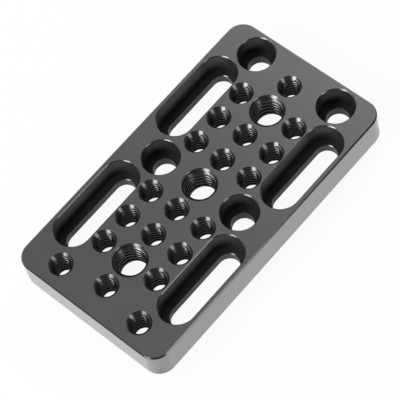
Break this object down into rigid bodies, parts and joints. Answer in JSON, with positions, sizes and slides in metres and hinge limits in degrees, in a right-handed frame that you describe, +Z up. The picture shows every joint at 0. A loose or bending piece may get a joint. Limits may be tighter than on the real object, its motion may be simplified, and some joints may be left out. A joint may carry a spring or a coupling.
{
  "type": "cheese plate",
  "caption": "Flat milled plate with a grid of tapped camera-thread holes, counterbored screw holes and stepped slots for joining camera accessories.",
  "frame": {"origin": "centre of the underside, on the axis of the large centre hole", "axes": "+X along the plate towards its counterbored end, +Y across it, +Z up out of the counterbored face"},
  "size_m": [0.0944, 0.052, 0.01],
  "materials": {
    "anodised_aluminium": "dark grey satin anodising over a fine blasted surface"
  },
  "bodies": {
    "root": {"plate": "anodised_aluminium"}
  },
  "joints": []
}
